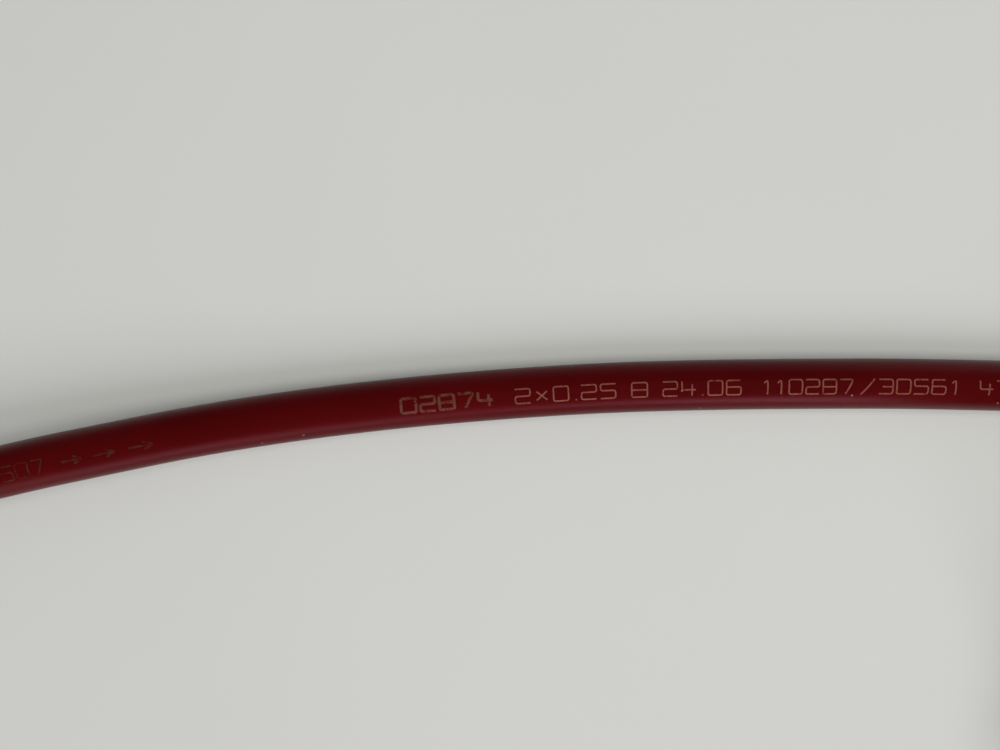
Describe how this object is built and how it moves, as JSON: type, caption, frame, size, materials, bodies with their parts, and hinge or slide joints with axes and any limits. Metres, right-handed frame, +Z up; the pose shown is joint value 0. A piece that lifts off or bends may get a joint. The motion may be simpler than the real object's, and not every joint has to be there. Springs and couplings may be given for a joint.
{
  "type": "three-pin audio cable in a tied coil",
  "caption": "Round jacketed microphone cable, part laid out and the rest wound in a tied coil, with a pin connector on one end and a latching socket connector on the other.",
  "frame": {"origin": "on the surface that the cable lies on, below the middle of the two connectors' common footprint", "axes": "+Z up from the surface, +X from the plug towards the coil, +Y from the socket's side towards the laid-out cable; the plug faces -Y and the socket faces -X"},
  "size_m": [0.3388, 0.1596, 0.0362],
  "materials": {
    "shell_metal": "satin nickel plate",
    "insert_plastic": "moulded, matt",
    "contact_brass": "gold plate",
    "chuck_plastic": "moulded, natural",
    "nut_plastic": "moulded, fine grain",
    "boot_rubber": "soft rubber",
    "jacket": "satin gloss, dark red flexible jacket",
    "core_insulation": "smooth core cover",
    "screen_wire": "bare copper",
    "latch_metal": "satin die-cast",
    "spring_steel": "bright wire",
    "tie_fabric": "woven hook-and-loop tape"
  },
  "bodies": {
    "cable": {"plug_shell": "shell_metal", "plug_insert": "insert_plastic", "plug_pins": "contact_brass", "plug_chuck": "chuck_plastic", "plug_jacket_end": "jacket", "plug_cores": "core_insulation", "plug_screen_lead": "screen_wire", "socket_shell": "shell_metal", "socket_insert": "insert_plastic", "socket_contacts": "contact_brass", "latch_spring": "spring_steel", "socket_chuck": "chuck_plastic", "socket_jacket_end": "jacket", "socket_cores": "core_insulation", "socket_screen_lead": "screen_wire", "cable_run": "jacket", "cable_coil": "jacket", "cable_tail": "jacket", "tie_strap_near": "tie_fabric", "tie_strap_far": "tie_fabric"},
    "latch": {"socket_latch": "latch_metal"},
    "plug_boot_body": {"plug_boot": "boot_rubber"},
    "plug_nut_body": {"plug_nut": "nut_plastic"},
    "socket_boot_body": {"socket_boot": "boot_rubber"},
    "socket_nut_body": {"socket_nut": "nut_plastic"}
  },
  "joints": [
    {"name": "latch_press", "type": "slide", "parent": "cable", "child": "latch", "axis": [0, 0, -1], "range_m": [0, 0.001], "stiffness_N_per_m": 1200, "springref_m": -0.0008, "deforming": ["latch_spring"]},
    {"name": "plug_boot_slide", "type": "slide", "parent": "cable", "child": "plug_boot_body", "axis": [0, 1, 0], "range_m": [0, 0.0075]},
    {"name": "plug_nut_turn", "type": "hinge", "parent": "plug_boot_body", "child": "plug_nut_body", "pos_m": [-0.087, 0.004, 0.0095], "axis": [0, 1, 0], "range_deg": [0, 1800]},
    {"name": "socket_boot_slide", "type": "slide", "parent": "cable", "child": "socket_boot_body", "axis": [1, 0, 0], "range_m": [0, 0.0075]},
    {"name": "socket_nut_turn", "type": "hinge", "parent": "socket_boot_body", "child": "socket_nut_body", "pos_m": [0.0615, 0.008, 0.0095], "axis": [1, 0, 0], "range_deg": [0, 1800]}
  ],
  "couplings": [
    {"joint": "plug_boot_slide", "follows": "plug_nut_turn", "m_per_rad": 0.00023873},
    {"joint": "socket_boot_slide", "follows": "socket_nut_turn", "m_per_rad": 0.00023873}
  ]
}
